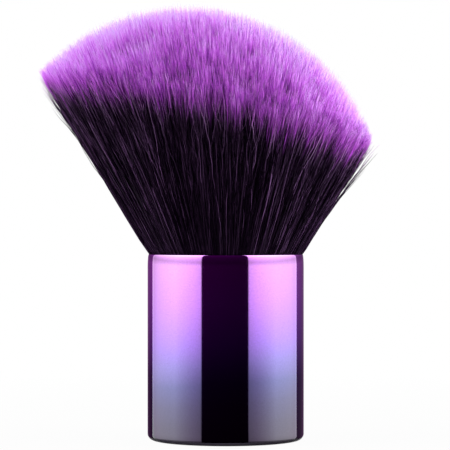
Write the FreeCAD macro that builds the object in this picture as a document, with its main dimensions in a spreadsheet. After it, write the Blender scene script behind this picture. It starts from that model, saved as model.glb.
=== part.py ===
# Kabuki makeup brush: a drawn aluminium handle shell, what it holds inside, and the trimmed
# fibre tuft. Millimetres, +Z up, origin at the centre of the base, X across the slanted cut.

import FreeCAD, Part
import Sketcher
import math
import os
import re

# Driving dimensions: alias, value, meaning. Each one is written once and set in the sheet.
DRIVING = [
    ("shell_diameter", 32.0, "outside of the handle shell"),
    ("shell_height", 38.0, "base to lip"),
    ("shell_wall", 0.5, "drawn wall"),
    ("shell_floor", 0.8, "drawn floor"),
    ("base_round", 1.35, "outside radius between wall and floor"),
    ("lip_chamfer", 0.15, "broken edges of the lip"),
    ("bond_thickness", 0.4, "adhesive disc under the weight"),
    ("weight_thickness", 6.0, "steel slug"),
    ("weight_gap", 0.3, "radial room between slug and shell"),
    ("weight_chamfer", 1.2, "edge of the slug, clear of the shell's inner radius"),
    ("core_gap", 0.2, "radial room between core and shell"),
    ("crush_gap", 0.05, "what the crush ribs leave of that room"),
    ("crush_width", 1.0, "width of a crush rib"),
    ("crush_lead", 1.5, "plain wall below a crush rib, to start it into the shell"),
    ("crush_count", 8, "crush ribs around the core"),
    ("skirt_wall", 1.6, "core wall below its web"),
    ("web_thickness", 2.0, "floor of the core's socket"),
    ("boss_diameter", 7.0, "centre boss under the web"),
    ("vent_diameter", 2.4, "air hole through boss and web"),
    ("stiffener_width", 1.4, "ribs between boss and skirt"),
    ("stiffener_count", 6, "ribs between boss and skirt"),
    ("socket_wall", 1.25, "core wall around the ferrule"),
    ("ferrule_wall", 0.4, "drawn ferrule wall"),
    ("ferrule_length", 16.5, "straight part of the ferrule"),
    ("ferrule_flange", 2.0, "width of the turned-in bottom flange"),
    ("ferrule_mouth", 1.2, "height of the flared mouth"),
    ("glue_line", 0.05, "radial room filled with adhesive"),
    ("potting_height", 5.0, "resin above the ferrule's flange"),
    ("potting_floor", 1.6, "resin under the fibre roots, above the flange"),
    ("winding_room", 0.6, "room between the winding and the ferrule"),
    ("tuft_gap", 0.1, "room between the fibres and what they lean on"),
    ("flare_angle", 31.0, "lean of the outer fibres"),
    ("dome_radius", 39.1, "trimmed tips lie on this sphere"),
    ("dome_shift", 7.9, "sphere's centre to the left of the axis, which slants the cut"),
    ("dome_rise", 11.65, "sphere's centre above the lip"),
    ("thread_diameter", 0.8, "binding thread"),
    ("thread_pitch", 1.3, "from turn to turn"),
    ("thread_turns", 3, "turns around the bundle"),
    ("thread_sides", 4, "flats of the pressed thread"),
    ("thread_lift", 1.2, "first turn above the resin"),
]

# Sizes that follow from the driving ones, as expressions in the sheet.
DERIVED = [
    ("bore_diameter", "shell_diameter - 2 * shell_wall"),
    ("inner_edge", "base_round - shell_wall"),
    ("weight_bottom", "shell_floor + bond_thickness"),
    ("weight_diameter", "bore_diameter - 2 * weight_gap"),
    ("bond_diameter", "weight_diameter - 2 * weight_chamfer"),
    ("core_bottom", "weight_bottom + weight_thickness"),
    ("core_diameter", "bore_diameter - 2 * core_gap"),
    ("socket_diameter", "core_diameter - 2 * socket_wall"),
    ("ferrule_outside", "socket_diameter - 2 * glue_line"),
    ("ferrule_bore", "ferrule_outside - 2 * ferrule_wall"),
    ("winding_diameter", "ferrule_bore - 2 * winding_room"),
    ("root_diameter", "winding_diameter - 2 * thread_diameter - 2 * tuft_gap"),
    ("lip_radius", "bore_diameter / 2 - tuft_gap"),
    ("mouth_radius", "ferrule_bore / 2 - tuft_gap"),
    ("mouth_height", "shell_height - (lip_radius - mouth_radius) / tan(flare_angle * 1 deg)"),
    ("mouth_flare", "ferrule_mouth * tan(flare_angle * 1 deg)"),
    ("ferrule_bottom", "mouth_height - ferrule_length"),
    ("skirt_bore", "core_diameter - 2 * skirt_wall"),
    ("web_bottom", "ferrule_bottom - web_thickness"),
    ("crush_outside", "bore_diameter / 2 - crush_gap"),
    ("flange_bore", "ferrule_bore - 2 * ferrule_flange"),
    ("flange_top", "ferrule_bottom + ferrule_wall"),
    ("potting_top", "flange_top + potting_height"),
    ("root_bottom", "flange_top + potting_floor"),
    ("thread_bottom", "potting_top + thread_lift"),
    ("thread_radius", "winding_diameter / 2 - thread_diameter / 2"),
    ("thread_height", "thread_pitch * thread_turns"),
    ("neck_height", "thread_bottom + thread_height + thread_diameter"),
    ("dome_height", "shell_height + dome_rise"),
    ("fan_height", "dome_rise + 2 * dome_radius"),
    ("fan_radius", "mouth_radius + fan_height * tan(flare_angle * 1 deg)"),
]

SAME_PLACE = 1e-4  # millimetres within which an edge counts as the one looked for

doc = FreeCAD.newDocument("kabuki_brush")
sheet = doc.addObject("Spreadsheet::Sheet", "Sizes")


def fill_sheet():
    rows = [(name, str(value), note) for name, value, note in DRIVING]
    rows += [(name, "=" + formula, "worked out") for name, formula in DERIVED]
    for row, (name, content, note) in enumerate(rows, start=1):
        sheet.set(f"A{row}", name)
        sheet.set(f"B{row}", content)
        sheet.setAlias(f"B{row}", name)
        sheet.set(f"C{row}", note)
    doc.recompute()


def size(name):
    value = sheet.get(name)
    return float(getattr(value, "Value", value))


def of_sizes(formula):
    """The formula with each size's name turned into a reference to its cell."""
    names = {name for name, *_ in DRIVING + DERIVED}
    return re.sub(r"[a-z_]+", lambda word: f"Sizes.{word[0]}" if word[0] in names else word[0], formula)


def worked_out(formula):
    """A formula's value with the sizes as they stand in the sheet."""
    value = sheet.evalExpression(of_sizes(formula))
    return float(getattr(value, "Value", value))


def bind(thing, **formulas):
    """Binds properties to sizes. A double underscore in a name stands for a dot."""
    for path, formula in formulas.items():
        thing.setExpression(path.replace("__", "."), of_sizes(formula))


def new_body(label):
    body = doc.addObject("PartDesign::Body", label)
    body.Label = label
    return body


def origin_feature(body, role):
    return next(f for f in body.Origin.OriginFeatures if f.Role == role)


def new_sketch(body, name, plane="XY_Plane", level=None):
    """A sketch on one of the body's own planes, raised to a level along its normal."""
    sketch = body.newObject("Sketcher::SketchObject", name)
    sketch.AttachmentSupport = (origin_feature(body, plane), [""])
    sketch.MapMode = "FlatFace"
    if level:
        bind(sketch, AttachmentOffset__Base__z=level)
    return sketch


def constrain(sketch, name, formula, *constraint):
    """A dimension with a name, bound to a formula of sizes."""
    index = sketch.addConstraint(Sketcher.Constraint(*constraint, worked_out(formula)))
    sketch.renameConstraint(index, name)
    bind(sketch, **{f"Constraints__{name}": formula})


def circle_sketch(body, name, level, diameter):
    sketch = new_sketch(body, name, level=level)
    sketch.addGeometry(Part.Circle(FreeCAD.Vector(), FreeCAD.Vector(0, 0, 1), worked_out(diameter) / 2))
    sketch.addConstraint(Sketcher.Constraint("Coincident", 0, 3, -1, 1))
    constrain(sketch, "diameter", diameter, "Diameter", 0)
    return sketch


def draw_loop(sketch, corners):
    """A closed run of straight lines through the corners."""
    corners = [FreeCAD.Vector(x, y, 0) for x, y in corners]
    for start, end in zip(corners, corners[1:] + corners[:1]):
        sketch.addGeometry(Part.LineSegment(start, end))
    for line in range(len(corners)):
        sketch.addConstraint(Sketcher.Constraint("Coincident", line, 2, (line + 1) % len(corners), 1))


def bar_sketch(body, name, level, inner, outer, width):
    """A rectangle that lies along +X from one radius to another, centred on the axis."""
    sketch = new_sketch(body, name, level=level)
    near, far, half = worked_out(inner), worked_out(outer), worked_out(width) / 2
    draw_loop(sketch, [(near, -half), (far, -half), (far, half), (near, half)])
    for line, direction in enumerate(("Horizontal", None, "Horizontal", "Vertical")):
        if direction:
            sketch.addConstraint(Sketcher.Constraint(direction, line))
    sketch.addConstraint(Sketcher.Constraint("Symmetric", 1, 1, 1, 2, -1))
    constrain(sketch, "inner", inner, "DistanceX", -1, 1, 0, 1)
    constrain(sketch, "outer", outer, "DistanceX", -1, 1, 0, 2)
    constrain(sketch, "width", width, "DistanceY", 1, 1, 1, 2)
    return sketch


def profile_sketch(body, name, points):
    """A closed outline on the XZ plane for a revolution, each corner bound to a radius and a height."""
    sketch = new_sketch(body, name, plane="XZ_Plane")
    draw_loop(sketch, [(worked_out(radius), worked_out(height)) for radius, height in points])
    for line, (radius, height) in enumerate(points):
        constrain(sketch, f"radius_{line}", radius, "DistanceX", -1, 1, line, 1)
        constrain(sketch, f"height_{line}", height, "DistanceY", -1, 1, line, 1)
    return sketch


def feature(body, kind, name, **settings):
    made = body.newObject(f"PartDesign::{kind}", name)
    for key, value in settings.items():
        setattr(made, key, value)
    body.Tip = made
    return made


def pad(body, name, sketch, length):
    made = feature(body, "Pad", name, Profile=sketch)
    bind(made, Length=length)
    doc.recompute()
    return made


def pocket(body, name, sketch, depth, upwards=False):
    """Cuts down into the solid from its sketch, or upwards from below."""
    before = body.Tip.Shape.Volume
    made = feature(body, "Pocket", name, Profile=sketch, Reversed=upwards)
    bind(made, Length=depth)
    doc.recompute()
    if made.Shape.Volume >= before:
        raise RuntimeError(f"{name} cut nothing")
    return made


def around(body, name, original, count):
    axis = (origin_feature(body, "Z_Axis"), [""])
    made = feature(body, "PolarPattern", name, Originals=[original], Axis=axis, Angle=360)
    bind(made, Occurrences=count)
    doc.recompute()
    return made


def round_edges(body, kind, name, height, radius, amount):
    """A fillet or chamfer on the round edges at one height and radius."""
    tip = body.Tip
    names = []
    for number, edge in enumerate(tip.Shape.Edges, start=1):
        curve = edge.Curve
        if not isinstance(curve, Part.Circle):
            continue
        if abs(curve.Center.z - height) < SAME_PLACE and abs(curve.Radius - radius) < SAME_PLACE:
            names.append(f"Edge{number}")
    made = feature(body, kind, name, Base=(tip, names))
    bind(made, **{"Radius" if kind == "Fillet" else "Size": amount})
    doc.recompute()
    return made


def handle_shell():
    """The drawn cup that is the handle: rounded base, thin wall, broken lip."""
    body = new_body("handle_shell")
    pad(body, "cup", circle_sketch(body, "outside", "0", "shell_diameter"), "shell_height")
    round_edges(body, "Fillet", "base_edge", 0, size("shell_diameter") / 2, "base_round")
    bore = circle_sketch(body, "bore", "shell_height", "bore_diameter")
    pocket(body, "hollow", bore, "shell_height - shell_floor")
    inside = size("bore_diameter") / 2
    round_edges(body, "Chamfer", "inner_edge", size("shell_floor"), inside, "inner_edge")
    top = size("shell_height")
    round_edges(body, "Chamfer", "lip_outside", top, size("shell_diameter") / 2, "lip_chamfer")
    round_edges(body, "Chamfer", "lip_inside", top, inside, "lip_chamfer")
    return body


def weight_bond():
    """The adhesive disc that holds the slug down on the shell's floor."""
    body = new_body("weight_bond")
    pad(body, "disc", circle_sketch(body, "outside", "shell_floor", "bond_diameter"), "bond_thickness")
    return body


def base_weight():
    """The steel slug that lets the brush stand on its base."""
    body = new_body("base_weight")
    pad(body, "slug", circle_sketch(body, "outside", "weight_bottom", "weight_diameter"), "weight_thickness")
    radius = size("weight_diameter") / 2
    round_edges(body, "Chamfer", "lower_edge", size("weight_bottom"), radius, "weight_chamfer")
    return body


def core_plug():
    """The moulded core: a socket for the ferrule above a web, a ribbed skirt below it."""
    body = new_body("core_plug")
    outside = circle_sketch(body, "outside", "core_bottom", "core_diameter")
    pad(body, "barrel", outside, "mouth_height - core_bottom")
    socket = circle_sketch(body, "socket_outline", "mouth_height", "socket_diameter")
    pocket(body, "socket", socket, "ferrule_length")
    skirt = circle_sketch(body, "skirt_outline", "core_bottom", "skirt_bore")
    pocket(body, "skirt", skirt, "web_bottom - core_bottom", upwards=True)
    boss = circle_sketch(body, "boss_outline", "core_bottom", "boss_diameter")
    pad(body, "boss", boss, "web_bottom - core_bottom")
    stiffener = bar_sketch(body, "stiffener_outline", "core_bottom", "boss_diameter / 4",
                           "skirt_bore / 2 + skirt_wall / 2", "stiffener_width")
    stiffener_pad = pad(body, "stiffener", stiffener, "web_bottom - core_bottom")
    around(body, "stiffeners", stiffener_pad, "stiffener_count")
    crush = bar_sketch(body, "crush_outline", "core_bottom + crush_lead",
                       "core_diameter / 2 - skirt_wall / 2", "crush_outside", "crush_width")
    crush_pad = pad(body, "crush_rib", crush, "web_bottom - core_bottom - crush_lead")
    around(body, "crush_ribs", crush_pad, "crush_count")
    vent = circle_sketch(body, "vent_outline", "ferrule_bottom", "vent_diameter")
    pocket(body, "vent", vent, "ferrule_bottom - core_bottom")
    return body


def tuft_ferrule():
    """The drawn ring that grips the tuft: a turned-in flange below, a flared mouth above."""
    body = new_body("tuft_ferrule")
    outline = [
        ("flange_bore / 2", "ferrule_bottom"),
        ("ferrule_outside / 2", "ferrule_bottom"),
        ("ferrule_outside / 2", "mouth_height"),
        ("ferrule_outside / 2 + mouth_flare", "mouth_height + ferrule_mouth"),
        ("ferrule_bore / 2 + mouth_flare", "mouth_height + ferrule_mouth"),
        ("ferrule_bore / 2", "mouth_height"),
        ("ferrule_bore / 2", "flange_top"),
        ("flange_bore / 2", "flange_top"),
    ]
    sketch = profile_sketch(body, "wall_outline", outline)
    turned = feature(body, "Revolution", "wall", Profile=sketch, Angle=360)
    turned.ReferenceAxis = (sketch, ["V_Axis"])
    doc.recompute()
    return body


def root_potting():
    """The cured resin that locks the fibre roots into the ferrule, with a plug through its flange."""
    body = new_body("root_potting")
    disc = circle_sketch(body, "disc_outline", "flange_top", "ferrule_bore - 2 * glue_line")
    pad(body, "disc", disc, "potting_height")
    plug = circle_sketch(body, "plug_outline", "ferrule_bottom", "flange_bore - 2 * glue_line")
    pad(body, "plug", plug, "ferrule_wall + potting_floor / 2")
    seat = circle_sketch(body, "seat_outline", "potting_top", "root_diameter + 2 * glue_line")
    pocket(body, "root_seat", seat, "potting_top - root_bottom")
    return body


def helix_point(turn):
    """A point of the winding's centre line and its direction, after so many turns."""
    radius, rise = size("thread_radius"), size("thread_pitch") / (2 * math.pi)
    angle = 2 * math.pi * turn
    across, along = math.cos(angle), math.sin(angle)
    bottom = size("thread_bottom") + size("thread_diameter") / 2
    point = FreeCAD.Vector(radius * across, radius * along, bottom + rise * angle)
    return point, FreeCAD.Vector(-radius * along, radius * across, rise).normalize()


def tangent_arc(start, corner, end):
    """The arc from start to end whose tangents there meet at the corner, as far from both."""
    weight = (corner - start).normalize().dot((end - start).normalize())
    middle = (start + corner * (2 * weight) + end) / (2 + 2 * weight)
    return Part.Arc(start, middle, end).toShape()


def biarc(first, last):
    """Two arcs that share a tangent where they meet, between two points with directions."""
    (start, leaving), (end, arriving) = first, last
    chord, both = end - start, leaving + arriving
    turn = 2 * (1 - leaving.dot(arriving))
    reach = (math.sqrt(chord.dot(both) ** 2 + turn * chord.dot(chord)) - chord.dot(both)) / turn
    near, far = start + leaving * reach, end - arriving * reach
    meeting = (near + far) / 2
    return [tangent_arc(start, near, meeting), tangent_arc(meeting, far, end)]


def least_gap(wire):
    """The least room between neighbouring turns, measured on points along the winding."""
    points = wire.discretize(Distance=size("thread_pitch") / 2)
    half_turn = int(len(points) / size("thread_turns") / 2)
    nearest = min(a.distanceToPoint(b) for i, a in enumerate(points) for b in points[i + half_turn:])
    return nearest - size("thread_diameter")


def binding_thread():
    """The waxed thread tied round the bundle, one unbroken winding."""
    stops = [helix_point(half / 2) for half in range(round(size("thread_turns") * 2) + 1)]
    wire = Part.Wire([arc for pair in zip(stops, stops[1:]) for arc in biarc(*pair)])
    centre, leaving = stops[0]
    up = FreeCAD.Vector(0, 0, 1)
    outwards = up.cross(leaving).normalize()
    upwards = leaving.cross(outwards)
    sides = round(size("thread_sides"))
    angles = [2 * math.pi * side / sides for side in range(sides + 1)]
    radius = size("thread_diameter") / 2
    ring = [centre + outwards * (radius * math.cos(a)) + upwards * (radius * math.sin(a)) for a in angles]
    thread = wire.makePipeShell([Part.makePolygon(ring)], True, False)
    print(f"binding thread: least gap to itself {least_gap(wire):.2f} mm")
    made = doc.addObject("Part::Feature", "binding_thread")
    made.Label = "binding_thread"
    made.Shape = thread
    return made


def primitive(kind, name, **formulas):
    made = doc.addObject(f"Part::{kind}", name)
    bind(made, **formulas)
    return made


def bristle_tuft():
    """The fibre tuft: a tied root, a neck, and a fan of fibres cut to a slanted dome."""
    root = primitive("Cylinder", "tuft_root", Radius="root_diameter / 2", Height="neck_height - root_bottom",
                     Placement__Base__z="root_bottom")
    neck = primitive("Cone", "tuft_neck", Radius1="root_diameter / 2", Radius2="mouth_radius",
                     Height="mouth_height - neck_height", Placement__Base__z="neck_height")
    fan = primitive("Cone", "tuft_fan", Radius1="mouth_radius", Radius2="fan_radius", Height="fan_height",
                    Placement__Base__z="mouth_height")
    dome = primitive("Sphere", "tuft_dome", Radius="dome_radius")
    dome.Placement.Rotation = FreeCAD.Rotation(FreeCAD.Vector(0, 0, 1), FreeCAD.Vector(-1, 0, 0))
    bind(dome, Placement__Base__x="0 - dome_shift", Placement__Base__z="dome_height")
    trimmed = doc.addObject("Part::Common", "tuft_trimmed")
    trimmed.Base = fan
    trimmed.Tool = dome
    tuft = doc.addObject("Part::MultiFuse", "bristle_tuft")
    tuft.Shapes = [root, neck, trimmed]
    tuft.Refine = True
    tuft.Label = "bristle_tuft"
    doc.recompute()
    return tuft


def check_document():
    for thing in doc.Objects:
        if "Invalid" in thing.State or "Error" in thing.State:
            raise RuntimeError(f"{thing.Label} did not build")


def main():
    fill_sheet()
    makers = [handle_shell, weight_bond, base_weight, core_plug, tuft_ferrule, root_potting,
              binding_thread, bristle_tuft]
    pieces = [make() for make in makers]
    doc.recompute()
    check_document()
    for piece in pieces:
        if piece.Shape.isNull() or not piece.Shape.isValid() or not piece.Shape.Solids:
            raise RuntimeError(f"{piece.Label} has no valid solid")
    os.makedirs("parts", exist_ok=True)
    for piece in pieces:
        piece.Shape.exportStep(f"parts/{piece.Label}.step")
        print(f"{piece.Label}: {len(piece.Shape.Solids)} solid, {piece.Shape.Volume:.1f} mm3")


main()
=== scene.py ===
import bpy
import math
import numpy as np
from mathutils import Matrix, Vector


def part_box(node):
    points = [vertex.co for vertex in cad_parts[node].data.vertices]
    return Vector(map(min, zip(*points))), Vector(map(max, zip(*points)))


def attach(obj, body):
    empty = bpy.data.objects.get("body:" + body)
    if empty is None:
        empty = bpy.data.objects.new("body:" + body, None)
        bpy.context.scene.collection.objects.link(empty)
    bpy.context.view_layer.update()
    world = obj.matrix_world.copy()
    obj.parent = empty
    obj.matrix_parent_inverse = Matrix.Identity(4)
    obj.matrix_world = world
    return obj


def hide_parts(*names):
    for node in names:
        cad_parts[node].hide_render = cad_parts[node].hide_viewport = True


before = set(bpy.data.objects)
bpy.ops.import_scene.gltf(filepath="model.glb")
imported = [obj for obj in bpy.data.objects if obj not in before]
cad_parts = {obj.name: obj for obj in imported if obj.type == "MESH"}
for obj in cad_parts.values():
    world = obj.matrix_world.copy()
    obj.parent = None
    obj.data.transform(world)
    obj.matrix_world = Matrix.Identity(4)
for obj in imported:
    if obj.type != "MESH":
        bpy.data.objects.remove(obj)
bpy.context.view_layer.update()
mm = 0.001
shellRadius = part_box("handle_shell")[1].x / mm
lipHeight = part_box("handle_shell")[1].z / mm
print("frame loaded: handle radius", round(shellRadius, 2), "lip height", round(lipHeight, 2))


# sRGB hex to linear RGBA: each channel through the sRGB curve
def linear(hexColour):
    srgb = np.array([int(hexColour[i:i + 2], 16) for i in (1, 3, 5)]) / 255
    rgb = np.where(srgb > 0.04045, ((srgb + 0.055) / 1.055) ** 2.4, srgb / 12.92)
    return (*rgb.tolist(), 1.0)


# one node with its settings; a socket entry is a value, or another node's output to link from
def addNode(tree, kind, sockets=None, stops=None, **settings):
    made = tree.nodes.new("ShaderNode" + kind)
    for name, value in settings.items():
        setattr(made, name, value)
    for key, value in (sockets or {}).items():
        if isinstance(value, bpy.types.NodeSocket):
            tree.links.new(value, made.inputs[key])
        else:
            made.inputs[key].default_value = value
    for k, (place, hexColour) in enumerate(stops or []):
        ramp = made.color_ramp.elements
        stop = ramp[k] if k < len(ramp) else ramp.new(place)
        stop.position = place
        stop.color = linear(hexColour)
    return made


def newMaterial(name):
    made = bpy.data.materials.new(name)
    made.use_nodes = True
    made.node_tree.nodes.clear()
    return made, made.node_tree


def showSurface(tree, shader):
    addNode(tree, "OutputMaterial", {"Surface": shader.outputs[0]})


# arrays straight into a mesh: points, the corners of all faces in a row, where each face starts
def putMesh(name, points, corners, starts, material, uv=None):
    mesh = bpy.data.meshes.new(name)
    mesh.vertices.add(len(points))
    mesh.vertices.foreach_set("co", np.ascontiguousarray(points, np.float32).ravel())
    mesh.loops.add(len(corners))
    mesh.loops.foreach_set("vertex_index", corners.astype(np.int32))
    mesh.polygons.add(len(starts))
    mesh.polygons.foreach_set("loop_start", starts.astype(np.int32))
    mesh.update(calc_edges=True)
    if uv is not None:
        mesh.uv_layers.new(name="OFBake").data.foreach_set("uv", uv.astype(np.float32).ravel())
    mesh.shade_smooth()
    mesh.materials.append(material)
    made = bpy.data.objects.new(name, mesh)
    bpy.context.scene.collection.objects.link(made)
    return made


def onRoot(piece, node):
    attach(piece, "root")
    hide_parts(node)


# closed skin through a stack of rings (rings x places x 3) with a point at each end:
# quads from ring to ring all the way round, and a fan of triangles to each end point
def ringSkin(rings, firstPole, lastPole):
    count, places = rings.shape[:2]
    points = np.vstack([rings.reshape(-1, 3), firstPole, lastPole])
    here = np.arange(places)
    after = np.roll(here, -1)
    low = np.arange(count - 1)[:, None] * places
    quads = np.stack([low + here, low + after, low + places + after, low + places + here], -1)
    top = (count - 1) * places
    firstFan = np.stack([np.full(places, len(points) - 2), after, here], -1)
    lastFan = np.stack([top + here, top + after, np.full(places, len(points) - 1)], -1)
    corners = np.concatenate([quads.ravel(), firstFan.ravel(), lastFan.ravel()])
    sides = np.concatenate([np.full(quads.shape[0] * places, 4), np.full(2 * places, 3)])
    starts = np.concatenate([[0], np.cumsum(sides)[:-1]])
    return points, corners, starts


# a profile of (radius, height) rows turned about the Z axis, its two ends on the axis
def turned(profile, places):
    angle = np.linspace(0, 2 * np.pi, places, endpoint=False)
    radius, height = profile[1:-1, 0, None], profile[1:-1, 1, None]
    rings = np.stack([radius * np.cos(angle), radius * np.sin(angle), height + 0 * angle], -1)
    poles = [[0, 0, profile[0, 1]], [0, 0, profile[-1, 1]]]
    return ringSkin(rings, poles[0], poles[1])


# quarter of an ellipse about (radius, height), from one angle to another, in degrees
def bend(radius, height, wide, tall, start, end, steps):
    angle = np.radians(np.linspace(start, end, steps))
    return np.stack([radius + wide * np.cos(angle), height + tall * np.sin(angle)], -1)


# straight run from one (radius, height) to another, both ends left out
def run(first, last, steps):
    share = np.linspace(0, 1, steps + 2)[1:-1, None]
    return np.array(first) * (1 - share) + np.array(last) * share


# Camera: level, straight on to the handle, far enough for little perspective
camera = dict(x=-0.14, distance=482.0, height=44.0, lens=188.0, sensor=36.0)

cameraData = bpy.data.cameras.new("camera")
cameraData.lens = camera["lens"]
cameraData.sensor_width = camera["sensor"]
cameraObject = bpy.data.objects.new("camera", cameraData)
cameraObject.location = (camera["x"] * mm, -camera["distance"] * mm, camera["height"] * mm)
cameraObject.rotation_euler = (math.radians(90), 0, 0)
bpy.context.scene.collection.objects.link(cameraObject)
bpy.context.scene.camera = cameraObject
bpy.context.scene.view_settings.view_transform = "Standard"
print("camera set")


# Handle shell: a thin drawn cup, round at the base, with a rolled lip
handle = dict(
    wall=0.5, floor=0.8, baseRound=1.35, lipRise=2.4, lipDrop=0.3, places=256,
    fade=[  # height above the table in mm, colour of the metal there
        (0.0, "#4E455A"), (4.0, "#524B67"), (8.1, "#58537B"), (12.2, "#625F98"),
        (16.3, "#8474C4"), (20.4, "#A47CE8"), (28.6, "#D08CFF"), (36.0, "#E49AFF"),
    ],
    fadeLean=4.0,                     # degrees that the fade leans to one side
    edge="#846690", roughness=0.06, coat=0.85, peel=1.6, peelDepth=0.0006,
    grain=0.16,                       # mm, metal grain under the lacquer, drawn coarse enough to show
)


# vacuum-metallised cup under tinted lacquer: a mirror whose tint fades from purple to blue-black,
# with a faint orange peel that softens the edges of what it reflects
def metallisedLacquer():
    made, tree = newMaterial("metallisedLacquer")
    place = addNode(tree, "TexCoord")
    lean = addNode(tree, "Mapping", {"Vector": place.outputs["Object"],
                                     "Rotation": (0, math.radians(handle["fadeLean"]), 0)})
    height = addNode(tree, "SeparateXYZ", {0: lean.outputs[0]})
    share = addNode(tree, "MapRange", {"Value": height.outputs["Z"], "From Max": lipHeight * mm})
    tint = addNode(tree, "ValToRGB", {"Fac": share.outputs[0]},
                   [(z / lipHeight, colour) for z, colour in handle["fade"]])
    grain = addNode(tree, "TexNoise", {"Vector": place.outputs["Object"],
                                       "Scale": 1 / (handle["grain"] * mm), "Detail": 2.0})
    fleck = addNode(tree, "ValToRGB", {"Fac": grain.outputs["Fac"]}, [(0.3, "#C4C4C4"), (0.7, "#FFFFFF")])
    metalTint = addNode(tree, "Mix", {0: 0.5, 6: tint.outputs["Color"], 7: fleck.outputs["Color"]},
                        data_type="RGBA", blend_type="MULTIPLY")
    peel = addNode(tree, "TexNoise", {"Vector": place.outputs["Object"],
                                      "Scale": 1 / (handle["peel"] * mm), "Detail": 1.0})
    bump = addNode(tree, "Bump", {"Height": peel.outputs["Fac"],
                                  "Distance": handle["peelDepth"] * mm, "Strength": 1.0})
    metal = addNode(tree, "BsdfPrincipled", {
        "Base Color": metalTint.outputs[2], "Metallic": 1.0, "Specular Tint": linear(handle["edge"]),
        "Coat Weight": handle["coat"], "Coat Roughness": 0.03,
        "Roughness": handle["roughness"], "Normal": bump.outputs["Normal"]})
    showSurface(tree, metal)
    return made


# outline from the middle of the base, out and up the wall, over the lip and down the inside
def handleProfile():
    h, r, top = handle, shellRadius, lipHeight
    half = h["wall"] / 2
    base, inner = h["baseRound"], shellRadius - h["wall"]
    parts = [
        [[0, 0]], run((0, 0), (r - base, 0), 5),
        bend(r - base, base, base, base, -90, 0, 16),
        run((r, base), (r, top - h["lipRise"]), 20),
        bend(r - half, top - h["lipRise"], half, h["lipRise"], 0, 90, 14),
        bend(r - half, top - h["lipDrop"], half, h["lipDrop"], 90, 180, 8)[1:],
        run((inner, top - h["lipDrop"]), (inner, h["floor"]), 12),
        [[inner, h["floor"]]], run((inner, h["floor"]), (0, h["floor"]), 5), [[0, h["floor"]]],
    ]
    return np.vstack(parts)


shellPoints, shellCorners, shellStarts = turned(handleProfile(), handle["places"])
shell = putMesh("handleShell", shellPoints * mm, shellCorners, shellStarts, metallisedLacquer())
onRoot(shell, "handle_shell")
print("handle shell:", len(shellStarts), "faces")


# Tuft: straight filaments that fan out of the handle's mouth, trimmed to a slanted dome
tuft = dict(
    mouthRadius=15.35, flare=31.0,                      # degrees at the outermost filaments
    swell=0.45, swellRise=0.5,                          # they spread over the lip as they leave it
    domeRadius=39.1, domeShift=-7.9, domeRise=11.65,    # dome's centre, from the lip's middle
    filaments=56000, shake=0.004, rootDepth=2.6,
    longShare=0.9, shortLength=9.0,                     # inside this share, only the top shows
    longRings=12, shortRings=3,
    rootWidth=0.14, bodyWidth=0.19, tipWidth=0.02,      # real ones are finer than a pixel
    bodyStart=0.35, widths=(0.65, 1.25),
    taper=6.0,                                          # length over which they run to a point
    lockSize=0.55, lockPull=0.35, lockLift=0.04,        # locks of filaments, sized at the mouth
    lockRise=0.45, lockTone=0.25, gridEdge=1.2,
    tressSize=2.6, tressPull=0.07,                      # tresses of locks
    paintedShadeDrop=4.5, sideDrop=0.1, cornerDrop=3.8,          # how much further down the map the colours start: painted shade front and back, a share of it at the sides, and the two corners
    lockDye=3.2, tressDye=3.2, evenDepth=7.0,           # how uneven it is, in full from this depth
    wave=0.010, waveTurns=(0.8, 2.2),
    stray=0.035, strayShare=0.1, reach=1.0,
    sideShort=1.0, domeShort=1.75,                      # mean length that the trim left off
    trimShape=2.2, trimMost=3.0, tipRise=0.75,
    seed=41, sectors=12,
    loose=1900, looseRings=44, looseWidth=0.115,        # single filaments that lie over the others
    looseWidths=(0.7, 1.2), looseCross=0.09, looseLift=0.010,
    looseTrim=1.0, looseTrimMost=4.0, looseTrimLeast=0.3,
    looseWave=0.014, looseTurns=(0.7, 1.4),
    waves=[(1, 1.0), (3, 0.5), (9, 0.26)],              # turns along the length, share of the wave
    standOff=[(0.0, 0.10, 18, 0.12), (math.pi, 0.10, 16, 0.07)],    # turn, spread, count, most lift
    standLift=(0.3, 1.0), standTrim=(1.0, 7.0), standCross=0.3,
    stout=2.5,                                          # those that stand off are drawn wider
    coreShare=0.9, coreDepth=3.0, corePlaces=96, coreStreak=0.6,
    fullLength=60.0, toneWidth=0.95, toneStep=0.01,     # the map of a filament's colour
    toneTurns=7, endLean=0.004,
)
tuft["lean"] = math.tan(math.radians(tuft["flare"]))
chance = np.random.default_rng(tuft["seed"])


# height of the dome above the lip on the line that leaves the mouth at share (a, b):
# where |start + h * slope - centre| equals the dome's radius, the upper root
def domeHeight(a, b):
    slope = np.stack([a * tuft["lean"], b * tuft["lean"], np.ones_like(a)], -1)
    start = np.stack([a * tuft["mouthRadius"] - tuft["domeShift"], b * tuft["mouthRadius"],
                      np.full_like(a, -tuft["domeRise"])], -1)
    square = (slope ** 2).sum(-1)
    cross = (slope * start).sum(-1)
    rest = (start ** 2).sum(-1) - tuft["domeRadius"] ** 2
    return (-cross + np.sqrt(cross ** 2 - square * rest)) / square


# painted shade on the outer filaments: their colours start further down the map, so the tips to the front
# and back are darker and those on top stay pale as if lit from behind;
# to the front and back by the square of the way from the middle, to the sides by a share of its fourth
# power
def paintedShadeFall(a, b):
    return tuft["paintedShadeDrop"] * (b ** 2 + tuft["sideDrop"] * a ** 2 * (a ** 2 + b ** 2))


# how much further down the map the colours start at the two corners seen from the front, by the eighth
# power, so the filaments there darken sooner
def cornerFall(a):
    return tuft["cornerDrop"] * a ** 8


# point of the fan: share (a, b) of the mouth, carried up by h along its own slope
def fanPoint(a, b, h):
    mouth = tuft["mouthRadius"] + tuft["swell"] * (1 - np.exp(-np.maximum(h, 0) / tuft["swellRise"]))
    wide = mouth + h * tuft["lean"]
    return np.stack([a * wide, b * wide, lipHeight + h], -1)


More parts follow.
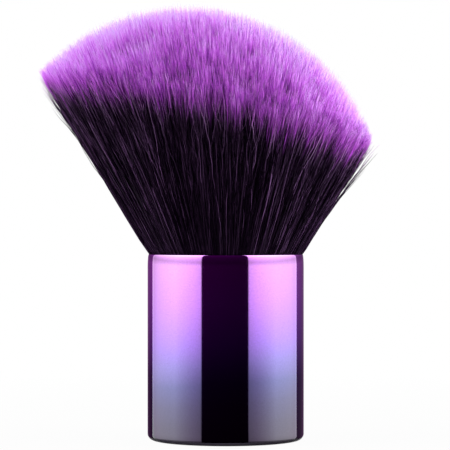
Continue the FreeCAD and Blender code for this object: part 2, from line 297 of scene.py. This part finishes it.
# nearest of the jittered lock centres round each (a, b), one per grid cell, and that lock's dice
def nearestLock(a, b, across):
    size = across / tuft["mouthRadius"]
    edge = tuft["gridEdge"]
    side = int(2 * edge / size) + 4
    dice = chance.random((side, side, 6))
    column = np.floor((a + edge) / size).astype(int) + 1
    row = np.floor((b + edge) / size).astype(int) + 1
    best = np.full(a.shape, 9.0)
    lockA, lockB, lockDice = a.copy(), b.copy(), np.zeros(a.shape + (4,))
    for stepA in (-1, 0, 1):
        for stepB in (-1, 0, 1):
            cell = dice[column + stepA, row + stepB]
            seedA = (column + stepA - 1 + cell[:, 0]) * size - edge
            seedB = (row + stepB - 1 + cell[:, 1]) * size - edge
            far = (seedA - a) ** 2 + (seedB - b) ** 2
            near = far < best
            best = np.where(near, far, best)
            lockA = np.where(near, seedA, lockA)
            lockB = np.where(near, seedB, lockB)
            lockDice = np.where(near[:, None], cell[:, 2:], lockDice)
    return lockA, lockB, lockDice


# three-sided closed tubes round paths (filaments x rings x 3): each ring is a triangle square to the
# filament's own line, quads join the rings, and a triangle closes each end
def filamentTubes(paths, widths, tone, dyeAndShadeDepth):
    count, rings = paths.shape[:2]
    line = paths[:, -1] - paths[:, 0]
    line /= np.linalg.norm(line, axis=-1, keepdims=True)
    acrossA = np.cross(line, [0.31, 0.95, 0.0])
    acrossA /= np.linalg.norm(acrossA, axis=-1, keepdims=True)
    acrossB = np.cross(line, acrossA)
    turn = 2 * np.pi * (np.arange(3)[None, :] / 3 + tone[:, None] * tuft["toneTurns"])
    spoke = np.cos(turn)[..., None] * acrossA[:, None] + np.sin(turn)[..., None] * acrossB[:, None]
    points = paths[:, :, None] + spoke[:, None] * (widths / 2)[:, :, None, None]
    here = np.arange(3)
    after = (here + 1) % 3
    low = np.arange(rings - 1)[:, None] * 3
    quads = np.stack([low + here, low + after, low + 3 + after, low + 3 + here], -1).reshape(-1)
    last = (rings - 1) * 3
    ends = np.array([0, 2, 1, last, last + 1, last + 2])
    one = np.concatenate([quads, ends])
    corners = (np.arange(count)[:, None] * rings * 3 + one).ravel()
    sides = np.tile(np.concatenate([np.full(3 * (rings - 1), 4), [3, 3]]), count)
    starts = np.concatenate([[0], np.cumsum(sides)[:-1]])
    down = np.sqrt(dyeAndShadeDepth / tuft["fullLength"])        # map: across is tone, up is root of depth
    ring = np.concatenate([np.repeat(np.arange(rings - 1), 12), [0] * 3, [rings - 1] * 3])
    ring[:12 * (rings - 1)] += np.tile([0, 0, 1, 1], 3 * (rings - 1))
    column = np.concatenate([np.tile([0, 1, 1, 0, 1, 2, 2, 1, 2, 3, 3, 2], rings - 1), [0, 1, 2] * 2])
    lean = np.concatenate([np.zeros(12 * (rings - 1)), np.array([0, 1, 2] * 2) * tuft["endLean"]])
    across = tone[:, None] * tuft["toneWidth"] + column * tuft["toneStep"]
    uv = np.stack([across, down[:, ring] + lean], -1)
    return points.reshape(-1, 3), corners, starts, uv.reshape(-1, 2)


# length from each point of a path on to its tip: the steps added up from the far end
def lengthToTip(paths):
    steps = np.linalg.norm(np.diff(paths, axis=1), axis=-1)
    return np.concatenate([np.cumsum(steps[:, ::-1], 1)[:, ::-1], np.zeros((len(paths), 1))], 1)


# paths of the filaments that leave the mouth at (a, b): straight up the fan, drawn towards their lock
# and their tress by the square of the height, with a slow wave and a few that stray sideways
def filamentPaths(a, b, rings, whole):
    lockA, lockB, dice = nearestLock(a, b, tuft["lockSize"])
    tressA, tressB, tressDice = nearestLock(lockA, lockB, tuft["tressSize"])
    pull = tuft["lockPull"] * dice[:, 0]
    lift = 1 + tuft["lockLift"] * (dice[:, 1] - 0.5)
    strays = chance.random(a.shape) < tuft["strayShare"]
    spread = np.where(strays, tuft["stray"], tuft["wave"])
    tipA = (a + (lockA - a) * pull + (tressA - a) * tuft["tressPull"]) * lift
    tipB = (b + (lockB - b) * pull + (tressB - b) * tuft["tressPull"]) * lift
    tipA += chance.normal(0, 1, a.shape) * spread
    tipB += chance.normal(0, 1, a.shape) * spread
    beyond = np.maximum(np.hypot(tipA, tipB), 1e-6)
    keep = np.minimum(1, tuft["reach"] / beyond)
    tipA, tipB = tipA * keep, tipB * keep
    trim = chance.gamma(tuft["trimShape"], 1 / tuft["trimShape"], a.shape).clip(0, tuft["trimMost"])
    trim *= tuft["sideShort" if whole else "domeShort"]
    # painted shade to the front and back of the dome, and the real darker tips of trimmed filaments
    fall = paintedShadeFall(tipA, tipB) + trim
    tall = domeHeight(tipA, tipB) - trim + tuft["tipRise"] + (dice[:, 2] - 0.6) * tuft["lockRise"]
    if whole:
        share = 1 - (1 - np.linspace(0, 1, rings)) ** 1.6
        height = -tuft["rootDepth"] + share * (tall[:, None] + tuft["rootDepth"])
    else:
        share = np.linspace(0, 1, rings) ** 0.7
        height = tall[:, None] - tuft["shortLength"] * (1 - share)
    climb = np.clip(height / tall[:, None], 0, 1)
    phase = 2 * np.pi * chance.random((2,) + a.shape)[..., None]
    swing = tuft["wave"] * np.sin(np.pi * climb) ** 0.7
    turns = 2 * np.pi * chance.uniform(*tuft["waveTurns"], (len(a), 1))
    pathA = a[:, None] + (tipA - a)[:, None] * climb ** 2 + swing * np.sin(turns * climb + phase[0])
    pathB = b[:, None] + (tipB - b)[:, None] * climb ** 2 + swing * np.sin(turns * climb + phase[1])
    paths = fanPoint(pathA, pathB, height)
    fromTip = lengthToTip(paths)
    uneven = (dice[:, 2] - 0.5) * tuft["lockDye"] + (tressDice[:, 2] - 0.5) * tuft["tressDye"]
    uneven += cornerFall(tipA)
    # depth on the map: the dye's own fade from the tip, plus the painted shade, the trim and the uneven
    # dye by lock, tress and corner
    dyeAndShadeDepth = fromTip + fall[:, None]
    dyeAndShadeDepth = np.maximum(dyeAndShadeDepth + uneven[:, None] * np.clip(dyeAndShadeDepth / tuft["evenDepth"], 0, 1), 0)
    tone = tuft["lockTone"] * dice[:, 3] + (1 - tuft["lockTone"]) * chance.random(a.shape)
    width = np.interp(climb, [0, tuft["bodyStart"]], [tuft["rootWidth"], tuft["bodyWidth"]])
    width *= np.clip(tuft["tipWidth"] / tuft["bodyWidth"] + fromTip / tuft["taper"], 0, 1)
    width *= chance.uniform(*tuft["widths"], (len(a), 1))
    return paths, width, tone, dyeAndShadeDepth


# single filaments over the outside of the tuft: from the mouth's edge to a tip that is shifted along
# the edge and lifted by the square of the way, with three waves added that grow away from the root
def loosePaths(turn, lift, cross, shorter, rings):
    count = len(turn)
    climb = np.linspace(0, 1, rings)[None, :]
    waves = np.zeros((count, rings))
    for turns, share in tuft["waves"]:
        phase = chance.random((count, 1)) + turns * climb * chance.uniform(*tuft["looseTurns"], (count, 1))
        waves += chance.normal(0, share, (count, 1)) * np.sin(2 * np.pi * phase)
    waves *= tuft["looseWave"] * climb ** 0.5
    along = turn[:, None] + cross[:, None] * climb ** 1.5 + waves
    out = chance.uniform(0.975, 1.0, (count, 1)) + lift[:, None] * climb ** 2 + 0.3 * waves
    a, b = out * np.cos(along), out * np.sin(along)
    edgeA, edgeB = np.cos(along[:, -1]), np.sin(along[:, -1])
    tall = (domeHeight(edgeA, edgeB) - shorter)[:, None]
    height = -tuft["rootDepth"] + climb * (tall + tuft["rootDepth"])
    paths = fanPoint(a, b, height)
    fromTip = lengthToTip(paths)
    width = tuft["looseWidth"] * np.clip(0.2 + fromTip / tuft["taper"], 0, 1)
    width = width * chance.uniform(*tuft["looseWidths"], (count, 1)) * (1 + tuft["stout"] * lift[:, None])
    # painted shade to the front and back, the shift at the corners, and the real trim
    dyeAndShadeDepth = fromTip + (paintedShadeFall(edgeA, edgeB) + cornerFall(edgeA) + shorter)[:, None]
    # their tones come from the upper half, so more of them take the pale colours: painted glints on the
    # outside of the tuft
    return paths, width, chance.uniform(0.5, 1.0, count), dyeAndShadeDepth


colouring = dict(
    scatter=13.0, shift=0.055,                # colours start up to this much higher or lower on the map
    streaks=(240, 16, 1), sway=(0.35, 1.65),  # painted glints: lighter and darker dashes along each filament
    rareFrom=(0.25, 0.44), rare=(1.1, 7.5),   # map heights between which the pale colours grow rare; the few pale ones left on the shafts are painted glints
    # the near-white first millimetres of both sets are partly the lilac dye and partly painted glow of
    # tips lit from behind; the pale set's colours from 9 mm on are painted glints of single filaments
    # catching the light
    pale=[  # distance from the tip in mm, colour there
        (0.0, "#CCDAEE"), (0.8, "#DED4F4"), (2.0, "#E2B8F4"), (4.0, "#DA78EA"), (6.0, "#D484E2"),
        (7.4, "#BE80CC"), (9.0, "#906C9A"), (11.0, "#7C5A88"), (22.0, "#7E588A"), (50.0, "#56405E"),
    ],
    deep=[
        (0.0, "#C6C6EA"), (0.8, "#D4B2EE"), (2.0, "#CC7EE4"), (4.0, "#AE3ECA"), (6.0, "#923CAC"),
        (7.4, "#562666"), (9.0, "#1A0820"), (11.0, "#07010A"), (22.0, "#030005"), (50.0, "#040006"),
    ],
)


# dyed synthetic filament, fine and satin: near-black shafts that turn purple and then lilac at the tips,
# with painted light on the dye: painted glow at the tips, painted glints on the shafts and painted shade
# to the front and back of the dome;
# the map's height is the root of the distance from the tip, its width picks a darker or a lighter colour
# set
def dyedFilamentWithPaintedLight():
    made, tree = newMaterial("dyedFilamentWithPaintedLight")
    c = colouring
    place = addNode(tree, "UVMap", uv_map="OFBake")
    axes = addNode(tree, "SeparateXYZ", {0: place.outputs["UV"]})
    spread = addNode(tree, "Math", {0: axes.outputs["X"], 1: c["scatter"]}, operation="MULTIPLY")
    loose = addNode(tree, "Math", {0: spread.outputs[0]}, operation="FRACT")
    shift = addNode(tree, "MapRange", {
        "Value": loose.outputs[0], "To Min": -c["shift"], "To Max": c["shift"]})
    depth = addNode(tree, "Math", {0: axes.outputs["Y"], 1: shift.outputs[0]}, operation="ADD")
    # painted glints: noise along the map turns each filament lighter and darker in dashes
    along = addNode(tree, "Mapping", {"Vector": place.outputs["UV"], "Scale": c["streaks"]})
    patch = addNode(tree, "TexNoise", {"Vector": along.outputs[0], "Scale": 1.0, "Detail": 1.0})
    sway = addNode(tree, "MapRange", {"Value": patch.outputs["Fac"], "From Min": 0.25, "From Max": 0.75,
                                      "To Min": c["sway"][0], "To Max": c["sway"][1]})
    bias = addNode(tree, "MapRange", {
        "Value": axes.outputs["Y"], "From Min": c["rareFrom"][0], "From Max": c["rareFrom"][1],
        "To Min": c["rare"][0], "To Max": c["rare"][1]})
    even = addNode(tree, "Math", {0: axes.outputs["X"], 1: bias.outputs[0]}, operation="POWER")
    choice = addNode(tree, "Math", {0: even.outputs[0], 1: sway.outputs[0]},
                     operation="MULTIPLY", use_clamp=True)
    pale, deep = [
        addNode(tree, "ValToRGB", {"Fac": depth.outputs[0]},
                [(math.sqrt(d / tuft["fullLength"]), colour) for d, colour in c[key]])
        for key in ("pale", "deep")]
    # the dye mixed with the painted glints and the painted glow at the tips
    dyeAndPaintedLight = addNode(tree, "Mix", {0: choice.outputs[0], 6: deep.outputs["Color"], 7: pale.outputs["Color"]},
                  data_type="RGBA")
    fibre = addNode(tree, "BsdfPrincipled", {
        "Base Color": dyeAndPaintedLight.outputs[2], "Roughness": 0.42, "Specular IOR Level": 0.03,
        "Specular Tint": linear("#C88CE4"), "Sheen Weight": 0.06, "Sheen Roughness": 0.4,
        "Sheen Tint": linear("#B46CD4")})
    showSurface(tree, fibre)
    return made


# packed filaments deep in the tuft: streaks of near-black that turn purple towards the dome, by the
# distance from the dome's centre as a share of the dome's;
# the purple there is darker than the filaments' own dye, painted shade in the gaps between the tips
def packedFilament():
    made, tree = newMaterial("packedFilament")
    place = addNode(tree, "TexCoord")
    along = addNode(tree, "Mapping", {"Vector": place.outputs["Object"], "Scale": (1, 1, 0.04)})
    streak = addNode(tree, "TexNoise", {
        "Vector": along.outputs[0], "Scale": 1 / (tuft["coreStreak"] * mm), "Detail": 2.0})
    centre = (tuft["domeShift"] * mm, 0, (lipHeight + tuft["domeRise"]) * mm)
    out = addNode(tree, "VectorMath", {0: place.outputs["Object"], 1: centre}, operation="DISTANCE")
    ragged = addNode(tree, "MapRange", {"Value": streak.outputs["Fac"], "To Min": -0.06, "To Max": 0.06})
    depth = addNode(tree, "Math", {0: out.outputs["Value"], 1: 1 / (tuft["domeRadius"] * mm),
                                   2: ragged.outputs[0]}, operation="MULTIPLY_ADD")
    # painted shade: the purple stops are darker than the filaments' dye at the same depth
    dyeAndPaintedLight = addNode(tree, "ValToRGB", {"Fac": depth.outputs[0]}, [
        (0.70, "#08040A"), (0.78, "#1A0C20"), (0.86, "#602878"), (0.93, "#9A48B8")])
    fibre = addNode(tree, "BsdfPrincipled", {
        "Base Color": dyeAndPaintedLight.outputs["Color"], "Roughness": 0.7, "Specular IOR Level": 0.1})
    showSurface(tree, fibre)
    return made


# core: the same fan and dome, drawn in to a share of the mouth and sunk below the tips
def tuftCore():
    angle = np.linspace(0, 2 * np.pi, tuft["corePlaces"], endpoint=False)
    edge = tuft["coreShare"]
    a, b = np.cos(angle), np.sin(angle)
    rim = domeHeight(edge * a, edge * b) - tuft["coreDepth"]
    foot = -tuft["rootDepth"]
    rows = [(share, foot + 0 * rim) for share in np.linspace(0.3, 1, 3) * edge]
    rows += [(edge, foot + (rim - foot) * up) for up in np.linspace(0, 1, 9)[1:]]
    rows += [(share, domeHeight(share * a, share * b) - tuft["coreDepth"])
             for share in np.linspace(1, 0.1, 10)[1:] * edge]
    rings = np.stack([fanPoint(share * a, share * b, high) for share, high in rows])
    middle = np.zeros(1)
    top = domeHeight(middle, middle) - tuft["coreDepth"]
    return ringSkin(rings, [0, 0, lipHeight + foot], fanPoint(middle, middle, top)[0])


# which of the equal sectors round the axis a turn lies in, from half a turn back to half a turn on
def sectorOf(turn):
    return ((turn / (2 * np.pi) + 0.5) * tuft["sectors"]).astype(int) % tuft["sectors"]


corePoints, coreCorners, coreStarts = tuftCore()
core = putMesh("tuftCore", corePoints * mm, coreCorners, coreStarts, packedFilament())
onRoot(core, "bristle_tuft")

# even spread over the mouth: golden-angle spiral, shaken a little
order = np.arange(tuft["filaments"]) + 0.5
share = np.sqrt(order / tuft["filaments"])
angle = order * np.pi * (3 - math.sqrt(5))
mouthA = share * np.cos(angle) + chance.normal(0, tuft["shake"], order.shape)
mouthB = share * np.sin(angle) + chance.normal(0, tuft["shake"], order.shape)
sector = sectorOf(np.arctan2(mouthB, mouthA))
isLong = np.hypot(mouthA, mouthB) > tuft["longShare"]
filament = dyedFilamentWithPaintedLight()

# loose filaments all round, and a few that stand off the two edges seen from the front
looseTurn = chance.uniform(-np.pi, np.pi, tuft["loose"])
looseLift = chance.exponential(1, tuft["loose"]) * tuft["looseLift"]
looseCross = chance.normal(0, 1, tuft["loose"]) * tuft["looseCross"]
looseTrim = chance.exponential(tuft["looseTrim"], tuft["loose"]).clip(0, tuft["looseTrimMost"])
looseTrim += tuft["looseTrimLeast"]
first = 0
for turn, spread, count, most in tuft["standOff"]:
    some = slice(first, first + count)
    looseTurn[some] = turn + chance.normal(0, spread, count)
    looseCross[some] *= tuft["standCross"]
    looseLift[some] = most * chance.uniform(*tuft["standLift"], count)
    looseTrim[some] = chance.uniform(*tuft["standTrim"], count)
    first += count
looseTurn = (looseTurn + np.pi) % (2 * np.pi) - np.pi
looseSector = sectorOf(looseTurn)

for k in range(tuft["sectors"]):
    parts = []
    for rings, whole in ((tuft["longRings"], True), (tuft["shortRings"], False)):
        chosen = (sector == k) & (isLong == whole)
        parts.append(filamentTubes(*filamentPaths(mouthA[chosen], mouthB[chosen], rings, whole)))
    chosen = looseSector == k
    parts.append(filamentTubes(*loosePaths(looseTurn[chosen], looseLift[chosen], looseCross[chosen],
                                           looseTrim[chosen], tuft["looseRings"])))
    pointBase = np.cumsum([0] + [len(points) for points, _, _, _ in parts])
    cornerBase = np.cumsum([0] + [len(corners) for _, corners, _, _ in parts])
    piece = putMesh(
        f"tuftFilaments_{k + 1:02d}", np.vstack([points for points, _, _, _ in parts]) * mm,
        np.concatenate([part[1] + base for part, base in zip(parts, pointBase)]),
        np.concatenate([part[2] + base for part, base in zip(parts, cornerBase)]), filament,
        np.vstack([part[3] for part in parts]))
    onRoot(piece, "bristle_tuft")
print("tuft:", tuft["filaments"], "filaments in", tuft["sectors"], "pieces")


# Inner pieces stay as they came from the frame; each gets its own material
# node of the frame, name of the material, two tones, metallic, roughness, pattern size in mm, its stretch
inner = [
    ("weight_bond", "curedAdhesive", "#BEB199", "#C9BEA6", 0.0, 0.55, 3.0, (1, 1, 1)),
    ("base_weight", "zincPlatedSteel", "#75777C", "#8E9095", 1.0, 0.34, 0.5, (0.1, 0.1, 1)),
    ("core_plug", "mouldedABS", "#0E0E10", "#151517", 0.0, 0.48, 0.8, (1, 1, 1)),
    ("tuft_ferrule", "drawnAluminium", "#C0C0C4", "#D4D4D8", 1.0, 0.26, 0.4, (1, 1, 0.05)),
    ("root_potting", "amberEpoxy", "#8E6024", "#A8742E", 0.0, 0.18, 4.0, (1, 1, 1)),
    ("binding_thread", "waxedThread", "#C2B8A2", "#D6CCB6", 0.0, 0.6, 0.6, (1, 1, 4)),
]


# plain solid stock: two near tones in a noise pattern that is drawn out along the working direction
def solidStock(name, dark, light, metallic, roughness, size, stretch):
    made, tree = newMaterial(name)
    place = addNode(tree, "TexCoord")
    along = addNode(tree, "Mapping", {"Vector": place.outputs["Object"], "Scale": stretch})
    pattern = addNode(tree, "TexNoise", {
        "Vector": along.outputs[0], "Scale": 1 / (size * mm), "Detail": 2.0})
    tone = addNode(tree, "ValToRGB", {"Fac": pattern.outputs["Fac"]}, [(0.35, dark), (0.65, light)])
    stock = addNode(tree, "BsdfPrincipled", {
        "Base Color": tone.outputs["Color"], "Metallic": metallic, "Roughness": roughness})
    showSurface(tree, stock)
    return made


for node, name, dark, light, metallic, roughness, size, stretch in inner:
    stock = solidStock(name, dark, light, metallic, roughness, size, stretch)
    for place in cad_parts[node].material_slots:
        place.material = stock
print("inner pieces:", len(inner))


# Stage: pale floor, white surround, soft lamps and the panels that the metal reflects
studio = dict(
    ambient=0.10, floorSize=3.0, nearFloor=0.06, farFloor=0.22, shadowShare=0.035,
    lamps=[  # place in metres, width, height, watts
        ((0.0, 0.14, 0.62), 0.45, 0.45, 3.5),
        ((-0.55, -0.12, 0.12), 0.35, 0.5, 9.4),
        ((0.55, -0.12, 0.12), 0.35, 0.5, 8.1),
        ((0.0, -0.6, 0.35), 0.3, 0.3, 0.15),
    ],
    clear=0.0004, underBase=0.0165,
    # angle on the handle's wall, from the camera's side, that mirrors this place; brightness; tint;
    # how much brighter the panel gets from its foot to its head
    panels=[
        [(17.7, 0.5, "#FFF4FF", 0.2), (18.5, 0.97, "#FFF4FF", 0.2), (23.0, 1.18, "#FFF4FF", 0.18),
         (40.0, 1.83, "#FAFFF3", -0.06), (60.0, 1.7, "#FAFFF0", -0.14), (66.0, 1.5, "#FAFFF0", -0.14),
         (67.0, 1.85, "#FAFFF0", -0.14), (68.7, 1.85, "#FAFFF0", -0.14)],
        [(-64.3, 2.1, "#F8FFF0", -0.15), (-62.6, 2.1, "#F8FFF0", -0.15), (-61.6, 1.85, "#F8FFF0", -0.15),
         (-56.0, 1.97, "#F8FFF0", -0.15), (-40.0, 1.96, "#F8FFF3", -0.11), (-23.0, 1.18, "#FFF4FF", 0.22),
         (-17.4, 0.9, "#FFF4FF", 0.25), (-16.6, 0.5, "#FFF4FF", 0.25)],
        [(-16.6, 0.013, "#F400FF", 0.3), (17.7, 0.02, "#F400FF", 0.3)],
        [(68.7, 0.23, "#F898FF", 0.5), (90.0, 0.23, "#F898FF", 0.5)],
        [(-90.0, 0.25, "#F4B0FA", 0.32), (-64.3, 0.25, "#F4B0FA", 0.32)],
    ],
    panelShape=[  # metres along the mirrored ray, height, share of the brightness, rise from foot to head
        (0.0, 0.0, 0.3, -1), (0.0006, 0.0, 0.3, -1), (0.001, 0.0, 0.85, -1), (0.012, 0.0, 1.0, -1),
        (0.20, 0.0, 1.0, -1), (0.30, 0.0, 1.0, -0.3), (0.30, 0.006, 1.0, 0.1), (0.30, 0.018, 1.0, 0.7),
        (0.30, 0.037, 1.0, 1), (0.30, 0.042, 0.85, 1), (0.30, 0.055, 0.65, 1), (0.30, 0.092, 1.0, 1),
        (0.30, 0.142, 1.5, 1), (0.30, 0.231, 2.4, 1), (0.30, 0.50, 2.6, 1), (0.02, 0.50, 2.6, 1),
    ],
)


def lampOn(name, place, wide, tall, watts):
    data = bpy.data.lights.new(name, "AREA")
    data.shape = "RECTANGLE"
    data.size, data.size_y, data.energy = wide, tall, watts
    made = bpy.data.objects.new(name, data)
    made.location = place
    aim = Vector((0, 0, 0.055)) - made.location
    made.rotation_euler = aim.to_track_quat("-Z", "Y").to_euler()
    made.visible_camera = False
    made.visible_glossy = False
    bpy.context.scene.collection.objects.link(made)


for k, (place, wide, tall, watts) in enumerate(studio["lamps"]):
    lampOn(f"lamp_{k + 1}", place, wide, tall, watts)


# panel of light, as bright and as tinted at each point as its glow attribute says
def panelLight():
    made, tree = newMaterial("panelLight")
    glow = addNode(tree, "Attribute", attribute_name="glow")
    showSurface(tree, addNode(tree, "Emission", {"Color": glow.outputs["Color"], "Strength": 1.0}))
    return made


# panel ruled by the rays that the handle's wall mirrors to the camera: from the wall at angle t a ray
# leaves at twice t, and the panel follows it over the floor, then up, then over the top
def panel(name, stops, shape, material):
    angles = [angle for angle, _, _, _ in stops]
    tints = np.array([np.multiply(level, linear(tint)) for _, level, tint, _ in stops])
    turn = np.radians(np.union1d(np.linspace(angles[0], angles[-1], 33), angles))
    glare = np.stack([np.interp(np.degrees(turn), angles, channel) for channel in tints.T], -1)
    gain = np.interp(np.degrees(turn), angles, [stop[3] for stop in stops])
    far, high, part, rise = np.array(shape).T[:, :, None]
    wall = shellRadius * mm
    points = np.stack([-wall * np.sin(turn) - far * np.sin(2 * turn),
                       -wall * np.cos(turn) - far * np.cos(2 * turn),
                       high + studio["clear"] + 0 * turn], -1)
    columns, rows = len(turn), len(shape)
    low = np.arange(rows - 1)[:, None] * columns + np.arange(columns - 1)
    corners = np.stack([low, low + 1, low + columns + 1, low + columns], -1).reshape(-1)
    made = putMesh(name, points.reshape(-1, 3), corners, np.arange(0, len(corners), 4), material)
    glow = made.data.attributes.new("glow", "FLOAT_COLOR", "POINT")
    colour = (part * (1 + gain * rise))[..., None] * glare
    glow.data.foreach_set("color", colour.astype(np.float32).ravel())
    made.visible_camera = False
    made.visible_diffuse = False
    made.visible_transmission = False
    made.visible_shadow = False


glowing = panelLight()
for k, stops in enumerate(studio["panels"]):
    panel(f"panel_{k + 1}", stops, studio["panelShape"], glowing)


# what the camera, metal and clear things see of the surround: 1 for those rays, 0 for the others
def seenDirectly(tree):
    ray = addNode(tree, "LightPath")
    shiny = addNode(tree, "Math", {0: ray.outputs["Is Camera Ray"], 1: ray.outputs["Is Glossy Ray"]},
                    operation="MAXIMUM")
    return addNode(tree, "Math", {0: shiny.outputs[0], 1: ray.outputs["Is Transmission Ray"]},
                   operation="MAXIMUM")


# matt white sweep: plain white away from the object, with its soft shadow near it
def whiteSweep():
    made, tree = newMaterial("whiteSweep")
    seen = seenDirectly(tree)
    ray = addNode(tree, "LightPath")
    place = addNode(tree, "TexCoord")
    far = addNode(tree, "VectorMath", {0: place.outputs["Object"]}, operation="LENGTH")
    plain = addNode(tree, "MapRange", {
        "Value": far.outputs["Value"], "From Min": studio["nearFloor"], "From Max": studio["farFloor"],
        "To Min": 1 - studio["shadowShare"], "To Max": 1.0})
    outside = addNode(tree, "Math", {0: far.outputs["Value"], 1: studio["underBase"]},
                      operation="GREATER_THAN")
    bare = addNode(tree, "Math", {0: outside.outputs[0], 1: ray.outputs["Is Camera Ray"]},
                   operation="MAXIMUM")
    clearOf = addNode(tree, "Math", {0: plain.outputs[0], 1: bare.outputs[0]}, operation="MULTIPLY")
    share = addNode(tree, "Math", {0: clearOf.outputs[0], 1: seen.outputs[0]}, operation="MULTIPLY")
    matt = addNode(tree, "BsdfDiffuse", {"Color": linear("#9A9A9A")})
    white = addNode(tree, "Emission", {"Strength": 1.0})
    showSurface(tree, addNode(tree, "MixShader", {
        0: share.outputs[0], 1: matt.outputs[0], 2: white.outputs[0]}))
    return made


floorHalf = studio["floorSize"] / 2
floorPoints = np.array([[-1, -1, 0], [1, -1, 0], [1, 1, 0], [-1, 1, 0]]) * floorHalf
floor = putMesh("floor", floorPoints, np.arange(4), np.array([0]), whiteSweep())

world = bpy.data.worlds.new("surround")
world.use_nodes = True
world.node_tree.nodes.clear()
sky = seenDirectly(world.node_tree)
level = addNode(world.node_tree, "MapRange", {"Value": sky.outputs[0], "To Min": studio["ambient"]})
surround = addNode(world.node_tree, "Background", {
    "Color": linear("#FFFFFF"), "Strength": level.outputs[0]})
addNode(world.node_tree, "OutputWorld", {"Surface": surround.outputs[0]})
bpy.context.scene.world = world
print("stage set")
